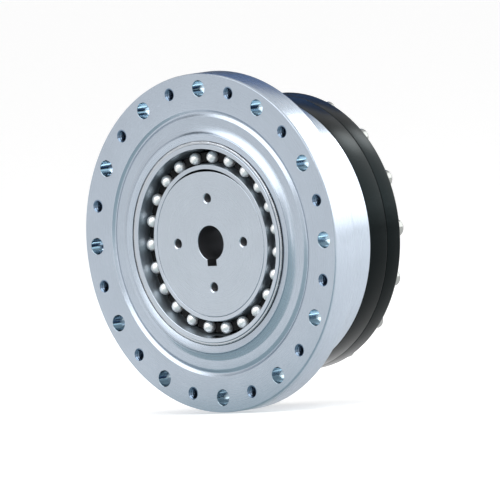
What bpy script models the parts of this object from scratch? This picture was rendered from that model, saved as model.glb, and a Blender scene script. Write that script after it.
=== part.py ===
"""A strain wave gearbox with its output bearing, as one unit.

The axis of the unit is Y. The front face of the flange lies in the XZ plane and looks along -Y,
which is the input side, and the output flange looks along +Y. Turns round the axis are counted
clockwise from the top (+Z), seen from the front. The wave generator is an ellipse whose long axis
stands upright, so the flexspline's teeth are in mesh at the top and at the bottom.
"""

import math

import bmesh
import bpy
from mathutils import Vector

# Flange and body of the circular spline, from the outside inwards
FLANGE_RADIUS = 0.0686
FLANGE_THICKNESS = 0.012
FLANGE_CHAMFER = 0.0006
FLANGE_WIDTH = 0.0126
BODY_LENGTH = 0.03435
FRONT_RING_WIDTH = 0.01005
REAR_RING_WIDTH = 0.0078
SEAM_DEPTH = BODY_LENGTH + FRONT_RING_WIDTH
REAR_DEPTH = SEAM_DEPTH + REAR_RING_WIDTH
BODY_RADIUS = FLANGE_RADIUS - FLANGE_WIDTH
BOLT_EDGE_DISTANCE = 0.0061
BOLT_CIRCLE_RADIUS = FLANGE_RADIUS - BOLT_EDGE_DISTANCE
BOLT_HOLES = 12
BOLT_HOLE_RADIUS = 0.0033
TAPPED_HOLE_RADIUS = 0.0025
GROOVE_EDGE = 0.0019
GROOVE_WIDTH = 0.0028
GROOVE_DEPTH = 0.0013
GROOVE_OUTER_RADIUS = BODY_RADIUS - GROOVE_EDGE
GROOVE_INNER_RADIUS = GROOVE_OUTER_RADIUS - GROOVE_WIDTH
FACE_LAND = 0.0038
FILLET_WIDTH = 0.003
CREST_HEIGHT = 0.002
CREST_WIDTH = 0.0006
CONE_WIDTH = 0.0021
CONE_DROP = 0.001
FILLET_FOOT_RADIUS = GROOVE_INNER_RADIUS - FACE_LAND
CREST_RADIUS = FILLET_FOOT_RADIUS - FILLET_WIDTH - CREST_WIDTH
FRONT_BORE_RADIUS = CREST_RADIUS - CONE_WIDTH
FRONT_BORE_DEPTH = 0.0003
BORE_RELIEF = 0.00032
TOOTH_END_DEPTH = 0.015

# Teeth: the circular spline has two more than the flexspline, so the wave is one module high
FLEX_TEETH = 320
SPLINE_TEETH = FLEX_TEETH + 2
TOOTH_TIP_SHARE = 0.7
TOOTH_ROOT_SHARE = 0.86
SPLINE_ROOT_RADIUS = FRONT_BORE_RADIUS - BORE_RELIEF
MODULE = SPLINE_ROOT_RADIUS / (SPLINE_TEETH / 2 + TOOTH_ROOT_SHARE)
WAVE = MODULE
SPLINE_TIP_RADIUS = MODULE * (SPLINE_TEETH / 2 - TOOTH_TIP_SHARE)
FLEX_TIP_RADIUS = MODULE * (FLEX_TEETH / 2 + TOOTH_TIP_SHARE)
FLEX_ROOT_RADIUS = MODULE * (FLEX_TEETH / 2 - TOOTH_ROOT_SHARE)

# Clearances
FIT = 0.0003
SEAT_GAP = 0.0003
HEAD_GAP = 0.0001
OVERRUN = 0.001

# Flexspline, a cup with a thin barrel, a thin end wall and a thick hub
FLEX_FRONT_DEPTH = -0.001
FLEX_RIM_WALL = 0.00078
FLEX_CHAMFER = 0.0006
FLEX_BORE_RADIUS = FLEX_ROOT_RADIUS - FLEX_RIM_WALL
FLEX_BARREL_WALL = 0.0006
FLEX_CORNER_RADIUS = 0.0025
FLEX_END_WALL = 0.0008
HUB_RADIUS = 0.023
HUB_BORE_RADIUS = 0.0115
HUB_RISE = 0.002
HUB_THICKNESS = 0.004
OUTPUT_LIP = 0.0041
OUTPUT_FRONT_DEPTH = SEAM_DEPTH - OUTPUT_LIP
HUB_REAR_DEPTH = OUTPUT_FRONT_DEPTH - SEAT_GAP
HUB_FRONT_DEPTH = HUB_REAR_DEPTH - HUB_THICKNESS
FLEX_END_DEPTH = HUB_REAR_DEPTH - HUB_RISE
FLEX_CORNER_DEPTH = FLEX_END_DEPTH - FLEX_CORNER_RADIUS

# Thin ball bearing of the wave generator, from the flexspline inwards
BALLS = 23
BALL_RADIUS = 0.0025
BALL_DEPTH = 0.0029
BALL_GAP = 0.00015
BALL_PLAY = WAVE + BALL_GAP
LAND_RISE = 0.00045
RACE_WIDTH = 0.01
RACE_CHAMFER = 0.0003
OUTER_RACE_RELIEF = 0.001
RACE_OUTER_RADIUS = FLEX_BORE_RADIUS - FIT
OUTER_RACE_WALL = 0.0022
OUTER_RACE_FRONT_DEPTH = BALL_DEPTH - RACE_WIDTH / 2
RACE_REAR_DEPTH = BALL_DEPTH + RACE_WIDTH / 2
TRACK_RADIUS = BALL_RADIUS + BALL_PLAY
BALL_CIRCLE_RADIUS = RACE_OUTER_RADIUS - OUTER_RACE_WALL - TRACK_RADIUS
OUTER_LAND_RADIUS = BALL_CIRCLE_RADIUS + TRACK_RADIUS - LAND_RISE
INNER_LAND_RADIUS = BALL_CIRCLE_RADIUS - TRACK_RADIUS + LAND_RISE
INNER_RACE_WALL = 0.00205
INNER_RACE_RELIEF = 0.0007
OUTER_FACE_RADIUS = OUTER_LAND_RADIUS + OUTER_RACE_RELIEF
INNER_FACE_RADIUS = INNER_LAND_RADIUS - INNER_RACE_RELIEF
INNER_RACE_BORE_RADIUS = BALL_CIRCLE_RADIUS - TRACK_RADIUS - INNER_RACE_WALL
FIRST_BALL_TURN = math.radians(-12)
BALL_TURN = math.tau / BALLS
CAGE_GAP = 0.0004
CAGE_INNER_RADIUS = INNER_LAND_RADIUS + WAVE + CAGE_GAP
CAGE_OUTER_RADIUS = OUTER_LAND_RADIUS - WAVE - CAGE_GAP
POCKET_RADIUS = BALL_RADIUS + CAGE_GAP
CAGE_REAR_DEPTH = BALL_DEPTH + BALL_RADIUS + 2 * CAGE_GAP + LAND_RISE
PRONG_LEAD = 0.0005

# Wave generator plug
PLUG_RADIUS = INNER_RACE_BORE_RADIUS - FIT
PLUG_THICKNESS = 0.012
PLUG_CHAMFER = 0.00045
PLUG_HUB_RADIUS = 0.0135
PLUG_LENGTH = 0.016
SHAFT_RADIUS = 0.007
KEYWAY_WIDTH = 0.005
KEYWAY_REACH = 0.0093
PLUG_HOLES = 4
PLUG_HOLE_CIRCLE_RADIUS = 0.018
PLUG_HOLE_RADIUS = 0.002
PLUG_HOLE_DEPTH = 0.008

# Crossed roller bearing that carries the output, from its clamp screws inwards
SCREWS = 16
SCREW_EDGE_DISTANCE = 0.0039
SCREW_CIRCLE_RADIUS = BODY_RADIUS - SCREW_EDGE_DISTANCE
SCREW_HEAD_RADIUS = 0.0035
SCREW_HEAD_HEIGHT = 0.0028
SCREW_SHANK_RADIUS = 0.0019
SCREW_LENGTH = 0.025
SOCKET_RADIUS = 0.0017
SOCKET_DEPTH = 0.0016
RING_CHAMFER = 0.0003
ROLLER_CIRCLE_OFFSET = 0.0071
ROLLER_CIRCLE_RADIUS = SCREW_CIRCLE_RADIUS - ROLLER_CIRCLE_OFFSET
ROLLER_RADIUS = 0.002
ROLLER_GAP = 0.00015
ROLLER_CORNER_REACH = ROLLER_RADIUS * math.sqrt(2)
TRACK_CORNER_REACH = (ROLLER_RADIUS + ROLLER_GAP) * math.sqrt(2)
RING_BORE_RADIUS = ROLLER_CIRCLE_RADIUS + FIT
CAVITY_WALL = 0.0124
CAVITY_RADIUS = BODY_RADIUS - CAVITY_WALL
SEAL_WIDTH = 0.0021
SEAL_SECTION = 0.0024
SEAL_LIP = 0.0006
SEAL_SEAT_RADIUS = RING_BORE_RADIUS + SEAL_SECTION + FIT
SEAL_SEAT_DEPTH = REAR_DEPTH - SEAL_WIDTH - FIT

# Output flange, the inner ring of the roller bearing, with what clamps the flexspline to it
OUTPUT_RADIUS = ROLLER_CIRCLE_RADIUS - FIT
OUTPUT_LENGTH = 0.0167
OUTPUT_CHAMFER = 0.0005
OUTPUT_REAR_DEPTH = OUTPUT_FRONT_DEPTH + OUTPUT_LENGTH
PILOT_RADIUS = 0.016
PILOT_DEPTH = 0.003
OUTPUT_HOLES = 12
OUTPUT_HOLE_CIRCLE_RADIUS = 0.034
OUTPUT_HOLE_RADIUS = 0.0021
OUTPUT_HOLE_DEPTH = 0.01
CLAMP_RING_RADIUS = 0.022
CLAMP_RING_THICKNESS = 0.0037
CLAMP_RING_REAR_DEPTH = HUB_FRONT_DEPTH - SEAT_GAP
CLAMP_RING_FRONT_DEPTH = CLAMP_RING_REAR_DEPTH - CLAMP_RING_THICKNESS
HUB_BOLTS = 6
HUB_BOLT_CIRCLE_RADIUS = 0.017
HUB_BOLT_LENGTH = 0.016
HUB_BOLT_HEAD_RADIUS = 0.004
HUB_BOLT_HEAD_HEIGHT = 0.0045
HUB_BOLT_SHANK_RADIUS = 0.0024
HUB_BOLT_SOCKET_RADIUS = 0.0021
HUB_BOLT_SOCKET_DEPTH = 0.0024

# How finely the round shapes are drawn
RIM_SIDES = 48
BORE_SIDES = 24
HOLE_SIDES = 12
SCREW_SIDES = 12
SCREW_HOLE_SIDES = 8
TRACK_STEPS = 2
FILLET_STEPS = 3
POCKET_SHARES = (-1.0, -0.6, 0.0, 0.6, 1.0)
HEX_SIDES = 6
SHARP_ANGLE = math.radians(30)


def finish(name, colour, roughness, metallic):
    """A Principled material with a plain colour."""
    made = bpy.data.materials.new(name)
    made.use_nodes = True
    shader = made.node_tree.nodes["Principled BSDF"]
    shader.inputs["Base Color"].default_value = (*colour, 1.0)
    shader.inputs["Roughness"].default_value = roughness
    shader.inputs["Metallic"].default_value = metallic
    return made


def around(radius, turn, depth=0.0):
    """The point at a radius and a turn from the axis."""
    return Vector((radius * math.sin(turn), depth, radius * math.cos(turn)))


def circle(radius, depth, wave=0.0, sides=RIM_SIDES):
    """Points round the axis, pressed by the wave into an ellipse with its long axis upright."""
    turns = ((step + 0.5) * math.tau / sides for step in range(sides))
    return [around(radius + wave * math.cos(2 * turn), turn, depth) for turn in turns]


def toothed(even_radius, odd_radius, teeth, depth, wave=0.0):
    """Tips and roots in turn. The wave also moves each point along the rim, which keeps its length."""
    points = []
    for step in range(2 * teeth):
        turn = step * math.pi / teeth
        radius = odd_radius if step % 2 else even_radius
        shift = -wave / 2 * math.sin(2 * turn) / radius
        points.append(around(radius + wave * math.cos(2 * turn), turn + shift, depth))
    return points


def start_share(ring):
    """The turn of a ring's first vertex, as a share of a full turn."""
    return math.atan2(ring[0].co.x, ring[0].co.z) / math.tau


def stitch(mesh, first, second):
    """Join two rings of vertices: with quads where they have as many, else with a band of triangles."""
    many, others = len(first), len(second)
    if many == others:
        for step in range(many):
            after = (step + 1) % many
            mesh.faces.new((first[step], first[after], second[after], second[step]))
        return
    lead = start_share(first) - start_share(second)
    offset = round(lead * others)
    step = other = 0
    while step < many or other < others:
        here, there = first[step % many], second[(offset + other) % others]
        next_turn = lead + (step + 1) / many
        other_turn = (offset + other + 1) / others
        if other == others or (step < many and next_turn <= other_turn):
            step += 1
            mesh.faces.new((here, first[step % many], there))
        else:
            other += 1
            mesh.faces.new((here, second[(offset + other) % others], there))


def add_object(name, mesh, look, parent=None, location=(0.0, 0.0, 0.0)):
    """An object for a mesh, in its material, on its parent and in its place."""
    made = bpy.data.objects.new(name, mesh)
    bpy.context.scene.collection.objects.link(made)
    if look and not mesh.materials:
        mesh.materials.append(look)
    made.location = location
    made.parent = parent
    return made


def to_mesh(name, shape):
    """Close a bmesh's work: faces out, smooth, with sharp edges kept."""
    bmesh.ops.recalc_face_normals(shape, faces=shape.faces)
    mesh = bpy.data.meshes.new(name)
    shape.to_mesh(mesh)
    shape.free()
    mesh.shade_smooth()
    mesh.set_sharp_from_angle(angle=SHARP_ANGLE)
    return mesh


def turned_mesh(name, rings, capped=False):
    """A skin over rings of points: a ring-shaped body, or one with both ends capped."""
    shape = bmesh.new()
    drawn = [[shape.verts.new(point) for point in ring] for ring in rings]
    for first, second in zip(drawn, drawn[1:]):
        stitch(shape, first, second)
    if capped:
        shape.faces.new(drawn[0])
        shape.faces.new(drawn[-1])
    else:
        stitch(shape, drawn[-1], drawn[0])
    return to_mesh(name, shape)


def turned(name, rings, look, parent=None):
    return add_object(name, turned_mesh(name, rings), look, parent)


def drills(name, circle_radius, count, radius, start, end, sides, first_turn=0.0):
    """One cutter for a circle of holes, each a straight prism between two depths."""
    shape = bmesh.new()
    for step in range(count):
        centre = around(circle_radius, first_turn + step * math.tau / count)
        rings = []
        for depth in (start, end):
            ring = [point + centre for point in circle(radius, depth, sides=sides)]
            rings.append([shape.verts.new(point) for point in ring])
            shape.faces.new(rings[-1])
        stitch(shape, *rings)
    return add_object(name, to_mesh(name, shape), None)


def slot(name, width, reach, start, end):
    """A cutter with straight walls, from the axis downwards."""
    shape = bmesh.new()
    corners = ((-width / 2, 0.0), (width / 2, 0.0), (width / 2, -reach), (-width / 2, -reach))
    rings = [[shape.verts.new((x, depth, z)) for x, z in corners] for depth in (start, end)]
    for ring in rings:
        shape.faces.new(ring)
    stitch(shape, *rings)
    return add_object(name, to_mesh(name, shape), None)


def cut(piece, *cutters):
    for cutter in cutters:
        cutter.hide_render = True
        cutter.display_type = "WIRE"
        change = piece.modifiers.new(cutter.name, "BOOLEAN")
        change.operation = "DIFFERENCE"
        change.solver = "EXACT"
        change.object = cutter


def axis_frame(name):
    """An empty on the unit's axis, which carries the pieces that turn together."""
    made = bpy.data.objects.new(name, None)
    bpy.context.scene.collection.objects.link(made)
    return made


def ball_track(side):
    """Radii and depths of a ball track, from its bottom to the rear land: -1 is the inner race."""
    reach = math.acos((TRACK_RADIUS - LAND_RISE) / TRACK_RADIUS)
    for step in range(TRACK_STEPS + 1):
        angle = reach * step / TRACK_STEPS
        radius = BALL_CIRCLE_RADIUS + side * TRACK_RADIUS * math.cos(angle)
        yield radius, BALL_DEPTH + TRACK_RADIUS * math.sin(angle)


def crest_fillet():
    """The hollow fillet from the raised crest down to the flange face."""
    for step in range(FILLET_STEPS + 1):
        angle = step * math.pi / 2 / FILLET_STEPS
        radius = FILLET_FOOT_RADIUS - FILLET_WIDTH * math.cos(angle)
        yield circle(radius, CREST_HEIGHT * (math.sin(angle) - 1))


def make_circular_spline(look):
    """The housing: a drilled flange, a body behind it and the ring of internal teeth in its bore."""
    face_depth = 0.0
    teeth = (SPLINE_ROOT_RADIUS, SPLINE_TIP_RADIUS, SPLINE_TEETH)
    spline = turned(
        "circular_spline",
        [
            circle(FRONT_BORE_RADIUS, FRONT_BORE_DEPTH),
            circle(FRONT_BORE_RADIUS, -CREST_HEIGHT + CONE_DROP),
            circle(CREST_RADIUS, -CREST_HEIGHT),
            *crest_fillet(),
            circle(GROOVE_INNER_RADIUS, face_depth),
            circle(GROOVE_INNER_RADIUS, GROOVE_DEPTH),
            circle(GROOVE_OUTER_RADIUS, GROOVE_DEPTH),
            circle(GROOVE_OUTER_RADIUS, face_depth),
            circle(FLANGE_RADIUS - FLANGE_CHAMFER, face_depth),
            circle(FLANGE_RADIUS, FLANGE_CHAMFER),
            circle(FLANGE_RADIUS, FLANGE_THICKNESS),
            circle(BODY_RADIUS, FLANGE_THICKNESS),
            circle(BODY_RADIUS, BODY_LENGTH),
            circle(CAVITY_RADIUS, BODY_LENGTH),
            circle(CAVITY_RADIUS, TOOTH_END_DEPTH),
            toothed(*teeth, TOOTH_END_DEPTH),
            toothed(*teeth, FRONT_BORE_DEPTH),
        ],
        look,
    )
    through = (-OVERRUN, FLANGE_THICKNESS + OVERRUN)
    bolt_turn = math.tau / BOLT_HOLES
    clear = drills("bolt_holes", BOLT_CIRCLE_RADIUS, BOLT_HOLES, BOLT_HOLE_RADIUS, *through, HOLE_SIDES)
    tapped = drills(
        "tapped_holes",
        BOLT_CIRCLE_RADIUS,
        BOLT_HOLES,
        TAPPED_HOLE_RADIUS,
        *through,
        HOLE_SIDES,
        bolt_turn / 2,
    )
    screws = screw_drills("spline_screw_holes", screw_end_depth() - OVERRUN, BODY_LENGTH + OVERRUN)
    cut(spline, clear, tapped, screws)
    return spline


def screw_end_depth():
    return REAR_DEPTH + HEAD_GAP - SCREW_LENGTH


def screw_drills(name, start, end):
    radius = SCREW_SHANK_RADIUS + FIT
    return drills(name, SCREW_CIRCLE_RADIUS, SCREWS, radius, start, end, SCREW_HOLE_SIDES)


def make_outer_rings(look):
    """The two halves of the roller bearing's outer ring, which meet in the middle of its track."""
    track_side = TRACK_CORNER_REACH - (RING_BORE_RADIUS - ROLLER_CIRCLE_RADIUS)
    track_radius = ROLLER_CIRCLE_RADIUS + TRACK_CORNER_REACH - SEAT_GAP / 2
    front = BODY_LENGTH + SEAT_GAP
    seam = SEAM_DEPTH - SEAT_GAP / 2
    ring = turned(
        "output_bearing_ring_front",
        [
            circle(RING_BORE_RADIUS, front),
            circle(BODY_RADIUS, front),
            circle(BODY_RADIUS, seam - RING_CHAMFER),
            circle(BODY_RADIUS - RING_CHAMFER, seam),
            circle(track_radius, seam),
            circle(RING_BORE_RADIUS, SEAM_DEPTH - track_side),
        ],
        look,
    )
    cut(ring, screw_drills("front_ring_screw_holes", front - OVERRUN, seam + OVERRUN))
    seam = SEAM_DEPTH + SEAT_GAP / 2
    ring = turned(
        "output_bearing_ring_rear",
        [
            circle(track_radius, seam),
            circle(BODY_RADIUS - RING_CHAMFER, seam),
            circle(BODY_RADIUS, seam + RING_CHAMFER),
            circle(BODY_RADIUS, REAR_DEPTH - RING_CHAMFER),
            circle(BODY_RADIUS - RING_CHAMFER, REAR_DEPTH),
            circle(SEAL_SEAT_RADIUS, REAR_DEPTH),
            circle(SEAL_SEAT_RADIUS, SEAL_SEAT_DEPTH),
            circle(RING_BORE_RADIUS, SEAL_SEAT_DEPTH),
            circle(RING_BORE_RADIUS, SEAM_DEPTH + track_side),
        ],
        look,
    )
    cut(ring, screw_drills("rear_ring_screw_holes", seam - OVERRUN, REAR_DEPTH + OVERRUN))


def make_seal(look):
    """A flat oil seal in the rear ring's recess, with its lip towards the output flange."""
    front = SEAL_SEAT_DEPTH + FIT
    outer = SEAL_SEAT_RADIUS - FIT
    lip = OUTPUT_RADIUS + FIT
    turned(
        "output_oil_seal",
        [
            circle(outer, front),
            circle(outer, front + SEAL_WIDTH - FIT),
            circle(lip + SEAL_LIP, front + SEAL_WIDTH - FIT),
            circle(lip, front + SEAL_WIDTH / 2),
            circle(lip + SEAL_LIP, front),
        ],
        look,
    )


def socket_screw_mesh(name, head_radius, head_height, shank_radius, length, socket_radius, socket_depth):
    """A socket head screw along +Y, with its origin under the head and the head at +Y."""
    return turned_mesh(
        name,
        [
            circle(socket_radius, head_height - socket_depth, sides=HEX_SIDES),
            circle(socket_radius, head_height, sides=HEX_SIDES),
            circle(head_radius, head_height, sides=SCREW_SIDES),
            circle(head_radius, 0.0, sides=SCREW_SIDES),
            circle(shank_radius, 0.0, sides=HEX_SIDES),
            circle(shank_radius, -length, sides=HEX_SIDES),
        ],
        capped=True,
    )


def make_clamp_screws(look):
    """The screws that hold both outer rings to the circular spline."""
    mesh = socket_screw_mesh(
        "clamp_screw",
        SCREW_HEAD_RADIUS,
        SCREW_HEAD_HEIGHT,
        SCREW_SHANK_RADIUS,
        SCREW_LENGTH,
        SOCKET_RADIUS,
        SOCKET_DEPTH,
    )
    for step in range(SCREWS):
        place = around(SCREW_CIRCLE_RADIUS, step * math.tau / SCREWS, REAR_DEPTH + HEAD_GAP)
        add_object(f"clamp_screw_{step + 1:02d}", mesh, look, None, place)


def make_plug(look, parent):
    """The elliptical plug on the input shaft, with a keyway and four tapped holes."""
    plug = turned(
        "wave_generator_plug",
        [
            circle(SHAFT_RADIUS, 0.0, sides=BORE_SIDES),
            circle(PLUG_RADIUS - PLUG_CHAMFER, 0.0, WAVE),
            circle(PLUG_RADIUS, PLUG_CHAMFER, WAVE),
            circle(PLUG_RADIUS, PLUG_THICKNESS, WAVE),
            circle(PLUG_HUB_RADIUS, PLUG_THICKNESS, sides=BORE_SIDES),
            circle(PLUG_HUB_RADIUS, PLUG_LENGTH, sides=BORE_SIDES),
            circle(SHAFT_RADIUS, PLUG_LENGTH, sides=BORE_SIDES),
        ],
        look,
        parent,
    )
    keyway = slot("keyway", KEYWAY_WIDTH, KEYWAY_REACH, -OVERRUN, PLUG_LENGTH + OVERRUN)
    holes = (PLUG_HOLE_RADIUS, -OVERRUN, PLUG_HOLE_DEPTH, HOLE_SIDES)
    tapped = drills("plug_holes", PLUG_HOLE_CIRCLE_RADIUS, PLUG_HOLES, *holes)
    cut(plug, keyway, tapped)


def make_races(inner_parent, outer_parent, look):
    """The thin races, bent to the plug's ellipse. Their ball tracks are open to the front."""
    inner_front = 0.0
    turned(
        "wave_bearing_inner_race",
        [
            circle(INNER_RACE_BORE_RADIUS, inner_front, WAVE),
            circle(INNER_FACE_RADIUS, inner_front, WAVE),
            *(circle(radius, depth, WAVE) for radius, depth in ball_track(-1)),
            circle(INNER_LAND_RADIUS, RACE_REAR_DEPTH, WAVE),
            circle(INNER_RACE_BORE_RADIUS, RACE_REAR_DEPTH, WAVE),
        ],
        look,
        inner_parent,
    )
    turned(
        "wave_bearing_outer_race",
        [
            circle(OUTER_FACE_RADIUS, OUTER_RACE_FRONT_DEPTH, WAVE),
            *(circle(radius, depth, WAVE) for radius, depth in ball_track(1)),
            circle(OUTER_LAND_RADIUS, RACE_REAR_DEPTH, WAVE),
            circle(RACE_OUTER_RADIUS, RACE_REAR_DEPTH, WAVE),
            circle(RACE_OUTER_RADIUS, OUTER_RACE_FRONT_DEPTH + RACE_CHAMFER, WAVE),
            circle(RACE_OUTER_RADIUS - RACE_CHAMFER, OUTER_RACE_FRONT_DEPTH, WAVE),
        ],
        look,
        outer_parent,
    )


def make_balls(look, parent):
    shape = bmesh.new()
    bmesh.ops.create_icosphere(shape, subdivisions=2, radius=BALL_RADIUS)
    mesh = to_mesh("wave_bearing_ball", shape)
    for step in range(BALLS):
        place = around(BALL_CIRCLE_RADIUS, FIRST_BALL_TURN + step * BALL_TURN, BALL_DEPTH)
        add_object(f"wave_bearing_ball_{step + 1:02d}", mesh, look, parent, place)


def make_cage(look, parent):
    """A crown cage behind the balls: a ring whose front edge dips into a round pocket at each ball."""
    stations = []
    for step in range(BALLS):
        centre = FIRST_BALL_TURN + step * BALL_TURN
        for share in POCKET_SHARES:
            turn = centre + share * POCKET_RADIUS / BALL_CIRCLE_RADIUS
            dip = POCKET_RADIUS * math.sqrt(1 - share * share)
            stations.append((turn, BALL_DEPTH + PRONG_LEAD + dip))
    rings = []
    for radius in (CAGE_INNER_RADIUS, CAGE_OUTER_RADIUS):
        rings.append([around(radius, turn, depth) for turn, depth in stations])
    for radius in (CAGE_OUTER_RADIUS, CAGE_INNER_RADIUS):
        rings.append([around(radius, turn, CAGE_REAR_DEPTH) for turn, _ in stations])
    turned("wave_bearing_cage", rings, look, parent)


def flex_corner(radius, depth, reach, steps=FILLET_STEPS):
    """A quarter round that leads the barrel into the end wall."""
    for step in range(steps + 1):
        angle = step * math.pi / 2 / steps
        yield circle(radius - reach * (1 - math.cos(angle)), depth + reach * math.sin(angle))


def make_flexspline(look, parent):
    """A thin cup with external teeth at its open front, pressed into the wave generator's ellipse."""
    teeth = (FLEX_TIP_RADIUS, FLEX_ROOT_RADIUS, FLEX_TEETH)
    barrel = FLEX_BORE_RADIUS + FLEX_BARREL_WALL
    chamfer = FLEX_RIM_WALL - FLEX_CHAMFER
    inner_reach = FLEX_CORNER_RADIUS - FLEX_END_WALL
    cup = turned(
        "flexspline",
        [
            circle(FLEX_BORE_RADIUS, FLEX_FRONT_DEPTH, WAVE),
            circle(FLEX_ROOT_RADIUS - chamfer, FLEX_FRONT_DEPTH, WAVE),
            toothed(*teeth, FLEX_FRONT_DEPTH + FLEX_CHAMFER, WAVE),
            toothed(*teeth, TOOTH_END_DEPTH, WAVE),
            circle(barrel, TOOTH_END_DEPTH, WAVE),
            *flex_corner(barrel, FLEX_CORNER_DEPTH, FLEX_CORNER_RADIUS),
            circle(HUB_RADIUS, FLEX_END_DEPTH),
            circle(HUB_RADIUS, HUB_REAR_DEPTH),
            circle(HUB_BORE_RADIUS, HUB_REAR_DEPTH, sides=BORE_SIDES),
            circle(HUB_BORE_RADIUS, HUB_FRONT_DEPTH, sides=BORE_SIDES),
            circle(HUB_RADIUS, HUB_FRONT_DEPTH),
            circle(HUB_RADIUS, FLEX_END_DEPTH - FLEX_END_WALL),
            *reversed(list(flex_corner(FLEX_BORE_RADIUS, FLEX_CORNER_DEPTH, inner_reach))),
            circle(FLEX_BORE_RADIUS, TOOTH_END_DEPTH, WAVE),
        ],
        look,
        parent,
    )
    through = (HUB_FRONT_DEPTH - OVERRUN, HUB_REAR_DEPTH + OVERRUN)
    cut(cup, hub_bolt_drills("hub_bolt_holes", *through))


def hub_bolt_drills(name, start, end):
    radius = HUB_BOLT_SHANK_RADIUS + FIT
    return drills(name, HUB_BOLT_CIRCLE_RADIUS, HUB_BOLTS, radius, start, end, SCREW_HOLE_SIDES)


def make_flexspline_clamp(ring_look, bolt_look, parent):
    """The ring and the bolts that press the flexspline's hub against the output flange."""
    front, rear = CLAMP_RING_FRONT_DEPTH, CLAMP_RING_REAR_DEPTH
    ring = turned(
        "flexspline_clamp_ring",
        [
            circle(HUB_BORE_RADIUS, front, sides=BORE_SIDES),
            circle(CLAMP_RING_RADIUS, front, sides=BORE_SIDES),
            circle(CLAMP_RING_RADIUS, rear, sides=BORE_SIDES),
            circle(HUB_BORE_RADIUS, rear, sides=BORE_SIDES),
        ],
        ring_look,
        parent,
    )
    cut(ring, hub_bolt_drills("clamp_ring_bolt_holes", front - OVERRUN, rear + OVERRUN))
    mesh = socket_screw_mesh(
        "flexspline_bolt",
        HUB_BOLT_HEAD_RADIUS,
        HUB_BOLT_HEAD_HEIGHT,
        HUB_BOLT_SHANK_RADIUS,
        HUB_BOLT_LENGTH,
        HUB_BOLT_SOCKET_RADIUS,
        HUB_BOLT_SOCKET_DEPTH,
    )
    for step in range(HUB_BOLTS):
        place = around(HUB_BOLT_CIRCLE_RADIUS, step * math.tau / HUB_BOLTS, front - HEAD_GAP)
        bolt = add_object(f"flexspline_bolt_{step + 1}", mesh, bolt_look, parent, place)
        bolt.rotation_euler.x = math.pi


def make_output_flange(look, parent):
    """The output: the inner ring of the roller bearing, with a pilot recess and tapped holes behind."""
    track_side = TRACK_CORNER_REACH - (ROLLER_CIRCLE_RADIUS - OUTPUT_RADIUS)
    front, rear = OUTPUT_FRONT_DEPTH, OUTPUT_REAR_DEPTH
    flange = turned(
        "output_flange",
        [
            circle(HUB_BORE_RADIUS, front, sides=BORE_SIDES),
            circle(OUTPUT_RADIUS - OUTPUT_CHAMFER, front),
            circle(OUTPUT_RADIUS, front + OUTPUT_CHAMFER),
            circle(OUTPUT_RADIUS, SEAM_DEPTH - track_side),
            circle(ROLLER_CIRCLE_RADIUS - TRACK_CORNER_REACH, SEAM_DEPTH),
            circle(OUTPUT_RADIUS, SEAM_DEPTH + track_side),
            circle(OUTPUT_RADIUS, rear - OUTPUT_CHAMFER),
            circle(OUTPUT_RADIUS - OUTPUT_CHAMFER, rear),
            circle(PILOT_RADIUS, rear, sides=BORE_SIDES),
            circle(PILOT_RADIUS, rear - PILOT_DEPTH, sides=BORE_SIDES),
            circle(HUB_BORE_RADIUS, rear - PILOT_DEPTH, sides=BORE_SIDES),
        ],
        look,
        parent,
    )
    bolt_end = CLAMP_RING_FRONT_DEPTH - HEAD_GAP + HUB_BOLT_LENGTH
    inner = hub_bolt_drills("output_bolt_holes", front - OVERRUN, bolt_end + OVERRUN)
    outer = drills(
        "output_holes",
        OUTPUT_HOLE_CIRCLE_RADIUS,
        OUTPUT_HOLES,
        OUTPUT_HOLE_RADIUS,
        rear - OUTPUT_HOLE_DEPTH,
        rear + OVERRUN,
        SCREW_HOLE_SIDES,
    )
    cut(flange, inner, outer)


def make_rollers(look, parent):
    """The crossed rollers and their spacers, as the one square-cornered ring that they fill."""
    middle = ROLLER_CIRCLE_RADIUS
    turned(
        "crossed_roller_set",
        [
            circle(middle - ROLLER_CORNER_REACH, SEAM_DEPTH),
            circle(middle, SEAM_DEPTH - ROLLER_CORNER_REACH),
            circle(middle + ROLLER_CORNER_REACH, SEAM_DEPTH),
            circle(middle, SEAM_DEPTH + ROLLER_CORNER_REACH),
        ],
        look,
        parent,
    )


def main():
    for old in list(bpy.data.objects):
        bpy.data.objects.remove(old, do_unlink=True)

    housing = finish("ground_housing_steel", (0.46, 0.49, 0.53), 0.3, 1.0)
    blackened = finish("blackened_steel", (0.03, 0.035, 0.036), 0.35, 0.8)
    screw_steel = finish("bright_screw_steel", (0.6, 0.61, 0.6), 0.25, 1.0)
    bolt_steel = finish("black_screw_steel", (0.035, 0.035, 0.04), 0.4, 0.8)
    race_steel = finish("bearing_steel", (0.55, 0.57, 0.6), 0.2, 1.0)
    ball_steel = finish("polished_ball_steel", (0.65, 0.67, 0.7), 0.08, 1.0)
    plug_steel = finish("ground_plug_steel", (0.52, 0.55, 0.58), 0.3, 1.0)
    flex_steel = finish("flexspline_steel", (0.45, 0.47, 0.5), 0.3, 1.0)
    cage_plastic = finish("black_cage_nylon", (0.015, 0.015, 0.016), 0.55, 0.0)
    seal_rubber = finish("black_seal_rubber", (0.02, 0.02, 0.02), 0.7, 0.0)

    wave_generator = axis_frame("wave_generator_axis")
    ball_set = axis_frame("ball_set_axis")
    output = axis_frame("output_axis")
    roller_set = axis_frame("roller_set_axis")

    make_circular_spline(housing)
    make_outer_rings(blackened)
    make_seal(seal_rubber)
    make_clamp_screws(screw_steel)
    make_plug(plug_steel, wave_generator)
    make_races(wave_generator, output, race_steel)
    make_balls(ball_steel, ball_set)
    make_cage(cage_plastic, ball_set)
    make_flexspline(flex_steel, output)
    make_flexspline_clamp(flex_steel, bolt_steel, output)
    make_output_flange(race_steel, output)
    make_rollers(ball_steel, roller_set)


main()
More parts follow.
